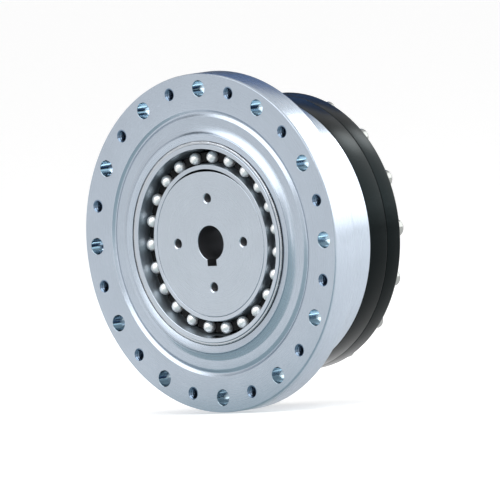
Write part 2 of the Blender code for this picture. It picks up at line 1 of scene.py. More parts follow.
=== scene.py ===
import math

import bmesh
import bpy
from mathutils import Matrix, Vector


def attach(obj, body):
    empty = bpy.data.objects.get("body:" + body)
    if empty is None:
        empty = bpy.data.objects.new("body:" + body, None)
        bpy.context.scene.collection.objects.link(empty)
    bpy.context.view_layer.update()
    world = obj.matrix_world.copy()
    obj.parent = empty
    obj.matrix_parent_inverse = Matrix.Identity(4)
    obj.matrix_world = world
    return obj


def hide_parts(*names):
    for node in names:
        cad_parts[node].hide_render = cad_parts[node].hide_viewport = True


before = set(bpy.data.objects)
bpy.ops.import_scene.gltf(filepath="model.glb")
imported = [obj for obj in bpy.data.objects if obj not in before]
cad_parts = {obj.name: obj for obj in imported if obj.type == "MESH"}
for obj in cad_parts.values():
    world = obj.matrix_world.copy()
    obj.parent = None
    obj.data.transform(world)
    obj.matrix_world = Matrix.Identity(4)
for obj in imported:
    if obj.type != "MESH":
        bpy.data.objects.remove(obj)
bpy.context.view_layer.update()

# Circular spline: the flange, the body behind it and the ring of internal teeth, turned from one
# forging, drilled and ground. Twelve plain and twelve threaded holes alternate round the flange.
# Its front face is at depth 0, and depths grow towards the output.
FLANGE_RADIUS = 0.0686
FLANGE_EASE = 0.00025
FLANGE_EASE_LENGTH = 0.0009
FLANGE_THICKNESS = 0.012
BODY_RADIUS = 0.056
BODY_LENGTH = 0.03435
BODY_ROOT_ROUNDING = 0.0005
BOLT_CIRCLE_RADIUS = 0.0625
BOLT_HOLES = 12
BOLT_HOLE_RADIUS = 0.0033
THREAD_RADIUS = 0.00255
THREAD_DEPTH = 0.0005
THREAD_PITCH = 0.00125
THREAD_STEPS = 12
HOLE_CHAMFER = 0.0001
HOLE_SIDES = 32
GROOVE_OUTER_RADIUS = 0.0541
GROOVE_INNER_RADIUS = 0.0513
GROOVE_DEPTH = 0.0011
GROOVE_ROUNDING = 0.0006
FILLET_TOP_RADIUS = 0.0445
FILLET_FOOT_RADIUS = 0.0476
FILLET_SWEEP = math.radians(66)
FILLET_STEPS = 12
CREST_HEIGHT = 0.002
CREST_RADIUS = 0.0439
CREST_ROUNDING = 0.00025
FRONT_BORE_RADIUS = 0.0418
FRONT_LIP_RADIUS = 0.0415
CONE_DROP = 0.0006
CAVITY_RADIUS = 0.0436
SCREWS = 16
SCREW_CIRCLE_RADIUS = 0.0521
SCREW_HOLE_RADIUS = 0.0022
SCREW_HOLE_END = 0.0263
TOOTH_FRONT_DEPTH = 0.0003
TOOTH_END_DEPTH = 0.015
FLEX_TEETH = 320
SPLINE_TEETH = FLEX_TEETH + 2
BORE_RELIEF = 0.00032
TOOTH_TIP_SHARE = 0.7
TOOTH_ROOT_SHARE = 0.86
TOOTH_FULLNESS = 0.8
TOOTH_STEPS = 6
MODULE = (FRONT_BORE_RADIUS - BORE_RELIEF) / (SPLINE_TEETH / 2 + TOOTH_ROOT_SHARE)
SHARP = 0.0
HAIR_EDGE = 0.0001
FINE_EDGE = 0.0002
PLAIN_EDGE = 0.0003
SOFT_EDGE = 0.0004
RIM_SIDES = 288
OVERRUN = 0.0005
SHARP_ANGLE = math.radians(28)
FLAT_ANGLE = math.radians(5)
FLAT_NORMAL = 0.9999
STEEL_BLUE_GREY = (0.41, 0.464, 0.533)
DRILLED_GREY = (0.33, 0.42, 0.48)
# Painted shade for tapped walls: far darker than the flange steel.
TAPPED_SHADE_GREY = (0.16, 0.22, 0.3)


def around(radius, turn, depth=0.0):
    """A point at a turn from the top, clockwise as seen from the front."""
    return Vector((radius * math.sin(turn), depth, radius * math.cos(turn)))


def circle(radius, depth, wave=0.0, sides=RIM_SIDES):
    """Points round the axis. A wave makes them an oval that is longer upwards by the wave."""
    turns = ((step + 0.5) * math.tau / sides for step in range(sides))
    return [around(radius + wave * math.cos(2 * turn), turn, depth) for turn in turns]


def rounded(corners, steps=4):
    """The corners (radius, depth, rounding) of a closed outline, each replaced by a small curve."""
    places = [Vector(corner[:2]) for corner in corners]
    for index, (place, corner) in enumerate(zip(places, corners)):
        rounding = corner[2]
        if not rounding:
            yield tuple(place)
            continue
        before = places[index - 1] - place
        after = places[(index + 1) % len(places)] - place
        start = place + before.normalized() * rounding
        end = place + after.normalized() * rounding
        for step in range(steps + 1):
            share = step / steps
            bend = start * (1 - share) ** 2 + place * 2 * share * (1 - share) + end * share**2
            yield tuple(bend)


def stitch(shape, first, second):
    """Faces between two rings of vertices; rings of unlike counts are joined by triangles."""
    many, others = len(first), len(second)
    if many == others:
        for step in range(many):
            after = (step + 1) % many
            shape.faces.new((first[step], first[after], second[after], second[step]))
        return
    starts = [math.atan2(ring[0].co.x, ring[0].co.z) / math.tau for ring in (first, second)]
    lead = starts[0] - starts[1]
    offset = round(lead * others)
    step = other = 0
    while step < many or other < others:
        here, there = first[step % many], second[(offset + other) % others]
        behind = lead + (step + 1) / many <= (offset + other + 1) / others
        if other == others or (step < many and behind):
            step += 1
            shape.faces.new((here, first[step % many], there))
        else:
            other += 1
            shape.faces.new((here, second[(offset + other) % others], there))


def meshed(name, shape):
    """A mesh of the drawn shape, with its faces pointing outwards."""
    bmesh.ops.recalc_face_normals(shape, faces=shape.faces)
    mesh = bpy.data.meshes.new(name)
    shape.to_mesh(mesh)
    shape.free()
    return mesh


def shaded(mesh):
    """Smooth shading that stops at sharp edges and at the rim of each flat face across the axis."""
    mesh.shade_smooth()
    mesh.set_sharp_from_angle(angle=SHARP_ANGLE)
    shape = bmesh.new()
    shape.from_mesh(mesh)
    for edge in shape.edges:
        flats = [abs(face.normal.y) > FLAT_NORMAL for face in edge.link_faces]
        if any(flats) and not all(flats) and edge.calc_face_angle() > FLAT_ANGLE:
            edge.smooth = False
    shape.to_mesh(mesh)
    shape.free()
    return mesh


def skin(name, rings, capped=False):
    """A closed mesh over rings of points: ring-shaped, or solid where its ends are capped."""
    shape = bmesh.new()
    drawn = [[shape.verts.new(point) for point in ring] for ring in rings]
    for first, second in zip(drawn, drawn[1:]):
        stitch(shape, first, second)
    if capped:
        shape.faces.new(drawn[0])
        shape.faces.new(drawn[-1])
    else:
        stitch(shape, drawn[-1], drawn[0])
    return shaded(meshed(name, shape))


def add(name, data, look=None):
    """A new object in the scene, with its finish where one is given."""
    made = bpy.data.objects.new(name, data)
    bpy.context.scene.collection.objects.link(made)
    if look:
        data.materials.append(look)
    return made


def settled(piece):
    """The piece as a plain mesh, with its modifiers applied."""
    layer = bpy.context.evaluated_depsgraph_get()
    mesh = bpy.data.meshes.new_from_object(piece.evaluated_get(layer))
    mesh.name = piece.name
    piece.modifiers.clear()
    piece.data = shaded(mesh)
    return piece


def cut(piece, wall_look, *cutters):
    """Take the cutters out of the piece, give the new walls their finish and delete the cutters."""
    for cutter in cutters:
        cutter.data.materials.append(wall_look)
        change = piece.modifiers.new(cutter.name, "BOOLEAN")
        change.operation = "DIFFERENCE"
        change.solver = "EXACT"
        change.material_mode = "TRANSFER"
        change.object = cutter
    settled(piece)
    for cutter in cutters:
        bpy.data.objects.remove(cutter)


def drills(name, hole, circle_radius, count, first_turn=0.0):
    """One cutter: the same hole, given as rings (radius function, depth), all round a circle."""
    shape = bmesh.new()
    turns = [step * math.tau / HOLE_SIDES for step in range(HOLE_SIDES)]
    for copy in range(count):
        centre = around(circle_radius, first_turn + copy * math.tau / count)
        drawn = []
        for radius_at, depth in hole:
            ring = [around(radius_at(turn), turn, depth) + centre for turn in turns]
            drawn.append([shape.verts.new(point) for point in ring])
        for first, second in zip(drawn, drawn[1:]):
            stitch(shape, first, second)
        shape.faces.new(drawn[0])
        shape.faces.new(drawn[-1])
    return add(name, meshed(name, shape))


def plain_hole(radius, start, end, open_front=True, open_rear=True):
    """Rings of a smooth hole. An end that opens in a face has a chamfer and runs past the face."""
    mouth = radius + HOLE_CHAMFER
    front, rear = [(radius, start)], [(radius, end)]
    if open_front:
        front = [(mouth + OVERRUN, start - OVERRUN), (mouth, start), (radius, start + HOLE_CHAMFER)]
    if open_rear:
        rear = [(radius, end - HOLE_CHAMFER), (mouth, end), (mouth + OVERRUN, end + OVERRUN)]
    return [(lambda turn, radius=radius: radius, depth) for radius, depth in front + rear]


def threaded_hole(
    crest,
    thread_depth,
    pitch,
    start,
    end,
    open_front=True,
    open_rear=True,
    lip=HOLE_CHAMFER,
):
    """Rings of a tapped hole: the radius follows one helical groove along its wall."""

    def groove(turn, depth):
        phase = (depth / pitch - turn / math.tau) % 1
        return crest - thread_depth * abs(2 * phase - 1)

    mouth = crest + lip / 2
    rings = []
    if open_front:
        rings += [(lambda turn: mouth + OVERRUN, start - OVERRUN), (lambda turn: mouth, start)]
    steps = round((end - start - 2 * lip) / pitch * THREAD_STEPS)
    for step in range(steps + 1):
        depth = start + lip + step * pitch / THREAD_STEPS
        rings.append((lambda turn, depth=depth: groove(turn, depth), depth))
    if open_rear:
        rings += [(lambda turn: mouth, end), (lambda turn: mouth + OVERRUN, end + OVERRUN)]
    return rings


def toothed(even_radius, odd_radius, teeth, depth, wave=0.0):
    """Teeth with rounded tips and roots. The wave carries points along the rim as well as out."""
    points = []
    for step in range(teeth * TOOTH_STEPS):
        turn = step * math.tau / (teeth * TOOTH_STEPS)
        swing = math.cos(step * math.tau / TOOTH_STEPS)
        share = 0.5 + 0.5 * math.copysign(abs(swing) ** TOOTH_FULLNESS, swing)
        radius = odd_radius + (even_radius - odd_radius) * share
        shift = -wave / 2 * math.sin(2 * turn) / radius
        points.append(around(radius + wave * math.cos(2 * turn), turn + shift, depth))
    return points


def lathe_marks():
    """Shader group for turned and ground metal: fine rings round the axis, and cloudy stains."""
    group = bpy.data.node_groups.new("lathe marks", "ShaderNodeTree")
    sockets = (
        ("Line Width", "INPUT"),
        ("Stain Size", "INPUT"),
        ("Lines", "OUTPUT"),
        ("Stain", "OUTPUT"),
    )
    for name, way in sockets:
        group.interface.new_socket(name, in_out=way, socket_type="NodeSocketFloat")
    made, link = group.nodes.new, group.links.new
    inputs, outputs = made("NodeGroupInput"), made("NodeGroupOutput")
    place, parts = made("ShaderNodeTexCoord"), made("ShaderNodeSeparateXYZ")
    link(place.outputs["Object"], parts.inputs[0])
    flat, length = made("ShaderNodeCombineXYZ"), made("ShaderNodeVectorMath")
    link(parts.outputs["X"], flat.inputs["X"])
    link(parts.outputs["Z"], flat.inputs["Z"])
    length.operation = "LENGTH"
    link(flat.outputs[0], length.inputs[0])
    across = made("ShaderNodeCombineXYZ")
    link(length.outputs["Value"], across.inputs["X"])
    link(parts.outputs["Y"], across.inputs["Y"])
    patterns = (
        ("Line Width", across.outputs[0], 3.0, "Lines"),
        ("Stain Size", place.outputs["Object"], 4.0, "Stain"),
    )
    for size, pattern, detail, result in patterns:
        scale, noise = made("ShaderNodeMath"), made("ShaderNodeTexNoise")
        scale.operation = "DIVIDE"
        scale.inputs[0].default_value = 1.0
        link(inputs.outputs[size], scale.inputs[1])
        noise.inputs["Detail"].default_value = detail
        link(pattern, noise.inputs["Vector"])
        link(scale.outputs[0], noise.inputs["Scale"])
        link(noise.outputs[0], outputs.inputs[result])
    return group


marks = lathe_marks()


def blank_finish(name):
    """A new material, its node tree and its shader."""
    look = bpy.data.materials.new(name)
    look.use_nodes = True
    return look, look.node_tree, look.node_tree.nodes["Principled BSDF"]


def colour_between(tree, mask, dark, light):
    """A colour that goes from dark to light as the mask rises."""
    tint = tree.nodes.new("ShaderNodeMix")
    tint.data_type = "RGBA"
    tint.inputs["A"].default_value = (*dark, 1.0)
    tint.inputs["B"].default_value = (*light, 1.0)
    tree.links.new(mask, tint.inputs["Factor"])
    return tint.outputs["Result"]


def relief(tree, height, strength, distance):
    """A normal that follows the height's small ups and downs."""
    bump = tree.nodes.new("ShaderNodeBump")
    bump.inputs["Strength"].default_value = strength
    bump.inputs["Distance"].default_value = distance
    tree.links.new(height, bump.inputs["Height"])
    return bump.outputs["Normal"]


def metal(
    name,
    colour,
    roughness,
    metallic=1.0,
    line=0.00025,
    bump=0.05,
    shade=0.06,
    stain=0.012,
    spread=0.15,
):
    """A turned or ground metal: lines vary its gloss and relief, and stains vary its colour."""
    look, tree, shader = blank_finish(name)
    source = tree.nodes.new("ShaderNodeGroup")
    source.node_tree = marks
    source.inputs["Line Width"].default_value = line
    source.inputs["Stain Size"].default_value = stain
    dark = [part * (1 - shade) for part in colour]
    light = [part * (1 + shade) for part in colour]
    tint = colour_between(tree, source.outputs["Stain"], dark, light)
    tree.links.new(tint, shader.inputs["Base Color"])
    gloss = tree.nodes.new("ShaderNodeMapRange")
    gloss.inputs["To Min"].default_value = roughness * (1 - spread)
    gloss.inputs["To Max"].default_value = roughness * (1 + spread)
    tree.links.new(source.outputs["Lines"], gloss.inputs["Value"])
    tree.links.new(gloss.outputs["Result"], shader.inputs["Roughness"])
    normal = relief(tree, source.outputs["Lines"], bump, line)
    tree.links.new(normal, shader.inputs["Normal"])
    shader.inputs["Metallic"].default_value = metallic
    return look


def finished(piece, body, slot, *nodes):
    """Give the piece its place among the bodies and hide the CAD nodes it stands for; the slot is
    not used.
    """
    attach(piece, body)
    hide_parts(*nodes)


fillet = []
for step in range(FILLET_STEPS + 1):
    angle = step * FILLET_SWEEP / FILLET_STEPS
    out = (1 - math.cos(angle)) / (1 - math.cos(FILLET_SWEEP))
    down = math.sin(angle) / math.sin(FILLET_SWEEP)
    reach = FILLET_TOP_RADIUS + (FILLET_FOOT_RADIUS - FILLET_TOP_RADIUS) * out
    fillet.append((reach, CREST_HEIGHT * (down - 1), SHARP if step else CREST_ROUNDING))
spline_corners = [
    (FRONT_LIP_RADIUS, TOOTH_FRONT_DEPTH, SHARP),
    (FRONT_LIP_RADIUS, CONE_DROP - CREST_HEIGHT, HAIR_EDGE),
    (CREST_RADIUS, -CREST_HEIGHT, CREST_ROUNDING),
    *fillet,
    (GROOVE_INNER_RADIUS, 0.0, FINE_EDGE),
    ((GROOVE_INNER_RADIUS + GROOVE_OUTER_RADIUS) / 2, GROOVE_DEPTH, GROOVE_ROUNDING),
    (GROOVE_OUTER_RADIUS, 0.0, FINE_EDGE),
    (FLANGE_RADIUS - FLANGE_EASE, 0.0, HAIR_EDGE),
    (FLANGE_RADIUS, FLANGE_EASE_LENGTH, SOFT_EDGE),
    (FLANGE_RADIUS, FLANGE_THICKNESS, SOFT_EDGE),
    (BODY_RADIUS, FLANGE_THICKNESS, BODY_ROOT_ROUNDING),
    (BODY_RADIUS, BODY_LENGTH, PLAIN_EDGE),
    (CAVITY_RADIUS, BODY_LENGTH, PLAIN_EDGE),
    (CAVITY_RADIUS, TOOTH_END_DEPTH, SHARP),
]
spline_root = MODULE * (SPLINE_TEETH / 2 + TOOTH_ROOT_SHARE)
spline_tip = MODULE * (SPLINE_TEETH / 2 - TOOTH_TIP_SHARE)
spline_rings = [circle(radius, depth) for radius, depth in rounded(spline_corners)]
for depth in (TOOTH_END_DEPTH, TOOTH_FRONT_DEPTH):
    spline_rings.append(toothed(spline_root, spline_tip, SPLINE_TEETH, depth))
flange_steel = metal("ground flange steel", STEEL_BLUE_GREY, roughness=0.27, bump=0.02)
drilled_steel = metal("drilled steel wall", DRILLED_GREY, roughness=0.1, line=0.0004)
# Tapped walls are coloured far darker than the flange: painted shade in the threads.
tapped_shade = metal("tapped wall in painted shade", TAPPED_SHADE_GREY, roughness=0.18, line=0.0004)
spline_mesh = skin("flange_and_ring_gear", spline_rings)
circular_spline = add("flange_and_ring_gear", spline_mesh, flange_steel)
between_bolts = math.pi / BOLT_HOLES
clear_hole = plain_hole(BOLT_HOLE_RADIUS, 0.0, FLANGE_THICKNESS)
tapped_hole = threaded_hole(THREAD_RADIUS, THREAD_DEPTH, THREAD_PITCH, 0.0, FLANGE_THICKNESS)
screw_hole = plain_hole(SCREW_HOLE_RADIUS, SCREW_HOLE_END, BODY_LENGTH, open_front=False)
for wall_look, name, hole, circle_radius, count, first_turn in (
    (drilled_steel, "bolt_holes", clear_hole, BOLT_CIRCLE_RADIUS, BOLT_HOLES, 0.0),
    (tapped_shade, "tapped_holes", tapped_hole, BOLT_CIRCLE_RADIUS, BOLT_HOLES, between_bolts),
    (drilled_steel, "body_screw_holes", screw_hole, SCREW_CIRCLE_RADIUS, SCREWS, 0.0),
):
    cut(circular_spline, wall_look, drills(name, hole, circle_radius, count, first_turn))
finished(circular_spline, "housing", "ground_housing_steel", "circular_spline")

# Outer rings of the output bearing: two turned and blackened steel halves that meet at a seam.
# Their faces towards each other hold the rollers' track, and long screws pull both to the body.
SEAM_DEPTH = 0.0444
REAR_DEPTH = 0.0522
REAR_EDGE = 0.0006
SEAT_GAP = 0.00002
SEAM_GAP = 0.00004
RING_BORE_RADIUS = 0.0453
TRACK_RADIUS = 0.04789
SEAL_SEAT_RADIUS = 0.048
SEAL_SEAT_DEPTH = 0.0498
OXIDE_BLACK = (0.006, 0.0085, 0.009)


def turned(name, corners, wave=0.0):
    """A body turned from an outline of rounded corners."""
    return skin(name, [circle(radius, depth, wave) for radius, depth in rounded(corners)])


track_side = TRACK_RADIUS - RING_BORE_RADIUS
front_ring_corners = [
    (RING_BORE_RADIUS, BODY_LENGTH + SEAT_GAP, PLAIN_EDGE),
    (BODY_RADIUS, BODY_LENGTH + SEAT_GAP, PLAIN_EDGE),
    (BODY_RADIUS, SEAM_DEPTH - SEAM_GAP / 2, PLAIN_EDGE),
    (TRACK_RADIUS, SEAM_DEPTH - SEAM_GAP / 2, SHARP),
    (RING_BORE_RADIUS, SEAM_DEPTH - track_side, FINE_EDGE),
]
rear_ring_corners = [
    (TRACK_RADIUS, SEAM_DEPTH + SEAM_GAP / 2, SHARP),
    (BODY_RADIUS, SEAM_DEPTH + SEAM_GAP / 2, PLAIN_EDGE),
    (BODY_RADIUS, REAR_DEPTH, REAR_EDGE),
    (SEAL_SEAT_RADIUS, REAR_DEPTH, FINE_EDGE),
    (SEAL_SEAT_RADIUS, SEAL_SEAT_DEPTH, SHARP),
    (RING_BORE_RADIUS, SEAL_SEAT_DEPTH, FINE_EDGE),
    (RING_BORE_RADIUS, SEAM_DEPTH + track_side, FINE_EDGE),
]
black_oxide = metal("black oxide steel", OXIDE_BLACK, roughness=0.24, shade=0.15, bump=0.02)
for name, corners in (
    ("output_bearing_ring_front", front_ring_corners),
    ("output_bearing_ring_rear", rear_ring_corners),
):
    ring = add(f"{name}_turned", turned(name, corners), black_oxide)
    depths = [depth for _, depth, _ in corners]
    screw_hole = plain_hole(SCREW_HOLE_RADIUS, min(depths), max(depths))
    cut(ring, black_oxide, drills(f"{name}_holes", screw_hole, SCREW_CIRCLE_RADIUS, SCREWS))
    finished(ring, "housing", "blackened_steel", name)

# Clamp screws: socket head cap screws, forged and rolled with knurled heads, of bright steel. They
# stand in a circle on the rear ring and go through both rings into the body.
SCREW_HEAD_RADIUS = 0.0035
SCREW_HEAD_HEIGHT = 0.0028
SCREW_HEAD_ROUNDING = 0.0004
SCREW_SEAT_DEPTH = REAR_DEPTH + SEAT_GAP
SOCKET_RADIUS = 0.0018
SOCKET_DEPTH = 0.0016
SCREW_SHANK_RADIUS = 0.0019
SCREW_LENGTH = 0.025
KNURL_TEETH = 36
KNURL_DEPTH = 0.00006
SCREW_SIDES = 2 * KNURL_TEETH
SCREW_STEEL = (0.3, 0.31, 0.3)


def copies_on_circle():
    """Geometry Nodes: the object's own mesh, repeated round the axis of the unit."""
    tree = bpy.data.node_groups.new("copies on a circle", "GeometryNodeTree")
    sockets = (
        ("Geometry", "NodeSocketGeometry"),
        ("Count", "NodeSocketInt"),
        ("Circle Radius", "NodeSocketFloat"),
        ("Depth", "NodeSocketFloat"),
        ("First Turn", "NodeSocketFloat"),
        ("Material", "NodeSocketMaterial"),
    )
    for name, kind in sockets:
        tree.interface.new_socket(name, in_out="INPUT", socket_type=kind)
    tree.interface.new_socket("Geometry", in_out="OUTPUT", socket_type="NodeSocketGeometry")
    made, link = tree.nodes.new, tree.links.new
    inputs, outputs = made("NodeGroupInput"), made("NodeGroupOutput")
    points, index = made("GeometryNodePoints"), made("GeometryNodeInputIndex")
    link(inputs.outputs["Count"], points.inputs["Count"])
    step, turn = made("ShaderNodeMath"), made("ShaderNodeMath")
    step.operation = "DIVIDE"
    step.inputs[0].default_value = math.tau
    link(inputs.outputs["Count"], step.inputs[1])
    turn.operation = "MULTIPLY_ADD"
    link(index.outputs[0], turn.inputs[0])
    link(step.outputs[0], turn.inputs[1])
    link(inputs.outputs["First Turn"], turn.inputs[2])
    place = made("ShaderNodeCombineXYZ")
    for axis, operation in (("X", "SINE"), ("Z", "COSINE")):
        wave, reach = made("ShaderNodeMath"), made("ShaderNodeMath")
        wave.operation = operation
        link(turn.outputs[0], wave.inputs[0])
        reach.operation = "MULTIPLY"
        link(wave.outputs[0], reach.inputs[0])
        link(inputs.outputs["Circle Radius"], reach.inputs[1])
        link(reach.outputs[0], place.inputs[axis])
    link(inputs.outputs["Depth"], place.inputs["Y"])
    move, spread = made("GeometryNodeSetPosition"), made("GeometryNodeInstanceOnPoints")
    link(points.outputs[0], move.inputs["Geometry"])
    link(place.outputs[0], move.inputs["Position"])
    link(move.outputs[0], spread.inputs["Points"])
    link(inputs.outputs["Geometry"], spread.inputs["Instance"])
    spin = made("ShaderNodeCombineXYZ")
    link(turn.outputs[0], spin.inputs["Y"])
    link(spin.outputs[0], spread.inputs["Rotation"])
    real, painted = made("GeometryNodeRealizeInstances"), made("GeometryNodeSetMaterial")
    link(spread.outputs[0], real.inputs[0])
    link(real.outputs[0], painted.inputs["Geometry"])
    link(inputs.outputs["Material"], painted.inputs["Material"])
    link(painted.outputs[0], outputs.inputs[0])
    return tree


circle_tree = copies_on_circle()


def repeated(name, mesh, look, count, circle_radius, depth, first_turn=0.0):
    """A plain mesh of copies of one item round the axis."""
    piece = add(name, mesh)
    change = piece.modifiers.new("copies", "NODES")
    change.node_group = circle_tree
    values = {
        "Count": count,
        "Circle Radius": circle_radius,
        "Depth": depth,
        "First Turn": first_turn,
        "Material": look,
    }
    for item in circle_tree.interface.items_tree:
        if item.name in values:
            change[item.identifier] = values[item.name]
    return settled(piece)


def smooth(radius, depth):
    """A round ring of the screw."""
    return circle(radius, depth, sides=SCREW_SIDES)


def knurled(radius, depth):
    """A ring of the head's side, with a groove at every other point."""
    ring = []
    for step in range(SCREW_SIDES):
        groove = step % 2 * KNURL_DEPTH
        ring.append(around(radius - groove, (step + 0.5) * math.tau / SCREW_SIDES, depth))
    return ring


def hexagon(radius, depth):
    """A ring of the socket, whose corners are at the radius."""
    side = math.tau / 6
    ring = []
    for step in range(SCREW_SIDES):
        turn = (step + 0.5) * math.tau / SCREW_SIDES
        off_middle = turn % side - side / 2
        reach = radius * math.cos(side / 2) / math.cos(off_middle)
        ring.append(around(reach, turn, depth))
    return ring


# The rings run up the socket, over the head's rounded shoulder, and down its side and the shank.
top = SCREW_HEAD_HEIGHT
lip = SCREW_HEAD_ROUNDING
screw_rings = [
    hexagon(SOCKET_RADIUS, top - SOCKET_DEPTH),
    hexagon(SOCKET_RADIUS, top - lip / 2),
    smooth(SOCKET_RADIUS + lip / 2, top),
    smooth(SCREW_HEAD_RADIUS - lip * 1.6, top),
    smooth(SCREW_HEAD_RADIUS - lip / 2, top - lip / 3),
    smooth(SCREW_HEAD_RADIUS, top - lip * 1.4),
    knurled(SCREW_HEAD_RADIUS, top - lip * 1.8),
    knurled(SCREW_HEAD_RADIUS, lip),
    smooth(SCREW_HEAD_RADIUS - lip / 3, 0.0),
    smooth(SCREW_SHANK_RADIUS, 0.0),
    smooth(SCREW_SHANK_RADIUS, lip - SCREW_LENGTH),
    smooth(SCREW_SHANK_RADIUS - lip, -SCREW_LENGTH),
]
screws = repeated(
    "clamp_screws",
    skin("clamp_screws", screw_rings, capped=True),
    metal("bright screw steel", SCREW_STEEL, roughness=0.16, shade=0.08),
    SCREWS,
    SCREW_CIRCLE_RADIUS,
    SCREW_SEAT_DEPTH,
)
screw_nodes = [f"clamp_screw_{number + 1:02d}" for number in range(SCREWS)]
finished(screws, "housing", "bright_screw_steel", *screw_nodes)

# Wave generator plug: a ground steel disc, turned very slightly oval and eased off at the top, on
# the motor shaft. It has a keyed bore and four tapped holes for the motor's adapter.
PLUG_RADIUS = 0.02957
RELIEF_DEPTH = 0.00085
RELIEF_REACH = math.radians(52)
PLUG_THICKNESS = 0.012
PLUG_LENGTH = 0.016
PLUG_HUB_RADIUS = 0.0135
SHAFT_RADIUS = 0.007
KEYWAY_WIDTH = 0.005
KEYWAY_REACH = 0.0093
PLUG_HOLES = 4
PLUG_HOLE_CIRCLE_RADIUS = 0.018
PLUG_THREAD_RADIUS = 0.00205
PLUG_THREAD_DEPTH = 0.0004
PLUG_THREAD_PITCH = 0.0007
PLUG_HOLE_DEPTH = 0.008
PLUG_HOLE_CHAMFER = 0.00035
PLUG_GREY = (0.442, 0.491, 0.549)
# Near-black for the walls inside the plug: painted shade.
BORE_SHADE_GREY = (0.07, 0.072, 0.08)
FACE_DEPTH = 0.0002
WALL_MARGIN = 0.0001
WAVE = MODULE * (SPLINE_TEETH - FLEX_TEETH) / 2


def eased(ring, radius):
    """Draw the top of the ring in by a crescent that is deepest at the very top."""
    for point in ring:
        share = min(1.0, abs(math.atan2(point.x, point.z)) / RELIEF_REACH)
        reach = 1 - RELIEF_DEPTH / radius * math.cos(share * math.pi / 2) ** 2
        point.x, point.z = point.x * reach, point.z * reach


plug_corners = [
    (PLUG_RADIUS, 0.0, FINE_EDGE),
    (PLUG_RADIUS, PLUG_THICKNESS, SOFT_EDGE),
    (PLUG_HUB_RADIUS, PLUG_THICKNESS, PLAIN_EDGE),
    (PLUG_HUB_RADIUS, PLUG_LENGTH, PLAIN_EDGE),
    (SHAFT_RADIUS, PLUG_LENGTH, PLAIN_EDGE),
    (SHAFT_RADIUS, 0.0, SOFT_EDGE),
]
plug_rings = []
for radius, depth in rounded(plug_corners):
    ring = circle(radius, depth, WAVE if radius > PLUG_HUB_RADIUS else 0.0)
    if radius > (PLUG_HUB_RADIUS + PLUG_RADIUS) / 2:
        eased(ring, radius)
    plug_rings.append(ring)
plug_steel = metal("ground plug steel", PLUG_GREY, roughness=0.27)
# The walls of the bore, the keyway and the four tapped holes are near-black: painted shade inside
# them.
bore_shade = metal(
    "bore wall in painted shade",
    BORE_SHADE_GREY,
    roughness=0.5,
    metallic=0.7,
    line=0.0004,
    bump=0.1,
)
plug = add("wave_generator_disc", skin("wave_generator_disc", plug_rings), plug_steel)
half_key = KEYWAY_WIDTH / 2
key_corners = (
    (-half_key, 0.0),
    (half_key, 0.0),
    (half_key, -KEYWAY_REACH),
    (-half_key, -KEYWAY_REACH),
)
key_rings = [
    [(x, depth, z) for x, z in key_corners] for depth in (-OVERRUN, PLUG_LENGTH + OVERRUN)
]
plug_hole = threaded_hole(
    PLUG_THREAD_RADIUS,
    PLUG_THREAD_DEPTH,
    PLUG_THREAD_PITCH,
    0.0,
    PLUG_HOLE_DEPTH,
    open_rear=False,
    lip=PLUG_HOLE_CHAMFER,
)
cut(
    plug,
    bore_shade,
    add("keyway", skin("keyway", key_rings, capped=True)),
    drills("plug_holes", plug_hole, PLUG_HOLE_CIRCLE_RADIUS, PLUG_HOLES),
)
bore_shade_index = plug.data.materials.find(bore_shade.name)
face_index = plug.data.materials.find(plug_steel.name)
# Faces in the bore take the near-black painted shade; faces at the front, the holes' chamfers among
# them, keep the plug's steel.
for face in plug.data.polygons:
    middle = face.center
    in_bore = math.hypot(middle.x, middle.z) < SHAFT_RADIUS + WALL_MARGIN
    if in_bore and SOFT_EDGE < middle.y < PLUG_LENGTH - PLAIN_EDGE:
        face.material_index = bore_shade_index
    elif middle.y < FACE_DEPTH:
        face.material_index = face_index
finished(plug, "wave_generator", "ground_plug_steel", "wave_generator_plug")

# Thin races of the wave bearing: hardened and ground steel, bent to the disc's oval. Each has a
# ball track that is open to the front, so the balls can be dropped in, and a land behind.
BALL_CIRCLE_RADIUS = 0.034594
BALL_RADIUS = 0.0025
BALL_DEPTH = 0.0029
TRACK_CURVE = 0.0029
TRACK_STEPS = 8
LAND_RISE = 0.00045
INNER_RELIEF = 0.0007
OUTER_RELIEF = 0.001
INNER_RACE_BORE = 0.02964
OUTER_RACE_RADIUS = 0.03993
RACE_FRONT_DEPTH = -0.0021
RACE_REAR_DEPTH = 0.0079
END_FACE_NORMAL = 0.95
RACE_STEEL = (0.46, 0.51, 0.57)
TRACK_STEEL = (0.42, 0.47, 0.52)


def ball_track(side):
    """Corners of a ball track, from its bottom to the rear land: -1 is the inner race."""
    sweep = math.acos((TRACK_CURVE - LAND_RISE) / TRACK_CURVE)
    for step in range(TRACK_STEPS + 1):
        angle = sweep * step / TRACK_STEPS
        radius = BALL_CIRCLE_RADIUS + side * TRACK_CURVE * math.cos(angle)
        yield radius, BALL_DEPTH + TRACK_CURVE * math.sin(angle), SHARP


